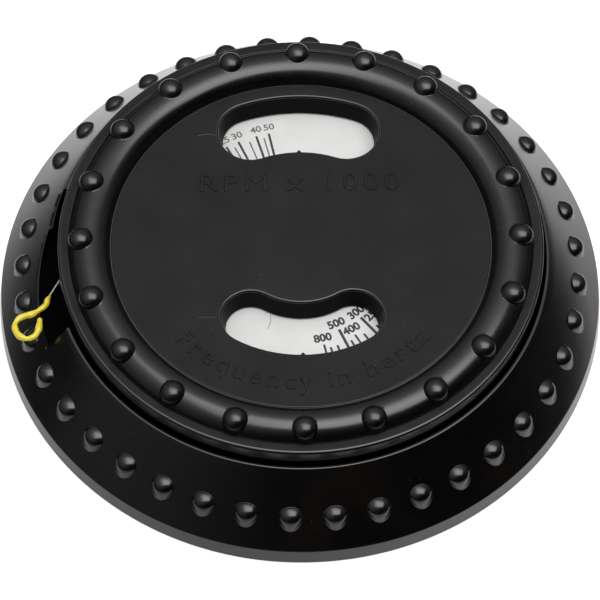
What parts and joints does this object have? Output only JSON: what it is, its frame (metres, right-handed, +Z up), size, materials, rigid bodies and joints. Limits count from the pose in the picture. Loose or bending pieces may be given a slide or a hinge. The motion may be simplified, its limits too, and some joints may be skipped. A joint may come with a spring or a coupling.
{
  "type": "small engine tachometer",
  "caption": "Pocket resonant-wire tachometer: a beaded dial cap turns in a conical base, feeds a thin steel wire with a looped end out of a slot and shows speed scales in its windows.",
  "frame": {"origin": "centre of the underside, where the foot ring stands on the table", "axes": "+Z up along the dial's axis; +Y from the frequency window towards the engine-speed window; the wire leaves towards -X and -Y"},
  "size_m": [0.07, 0.07, 0.015],
  "materials": {
    "base_moulding": "glossy black thermoset moulding, lightly scuffed",
    "cap_moulding": "black thermoset moulding, polished on the rim and satin on the flat faces",
    "scale_white": "matt white sheet with black print",
    "spring_steel": "bare drawn spring steel",
    "yellow_paint": "thick dipped yellow enamel",
    "brass": "turned brass",
    "plated_steel": "bright zinc plate"
  },
  "bodies": {
    "base": {"base_housing": "base_moulding", "scale_disc": "scale_white", "stop_pin": "plated_steel", "exit_guide": "brass"},
    "dial": {"dial_cap": "cap_moulding", "reed_coil": "spring_steel", "pivot_insert": "brass", "pivot_screw": "plated_steel", "pivot_washer": "plated_steel", "spring_washer": "spring_steel"},
    "wire": {"reed_tip": "spring_steel", "marker_loop": "yellow_paint"}
  },
  "joints": [
    {"name": "dial_turn", "type": "hinge", "parent": "base", "child": "dial", "pos_m": [0, 0, 0], "axis": [0, 0, 1], "range_deg": [0, 300]},
    {"name": "wire_feed", "type": "slide", "parent": "base", "child": "wire", "axis": [-0.454, -0.891, 0], "range_m": [0, 0.1223]}
  ],
  "couplings": [
    {"joint": "wire_feed", "follows": "dial_turn", "m_per_rad": 0.02335}
  ]
}
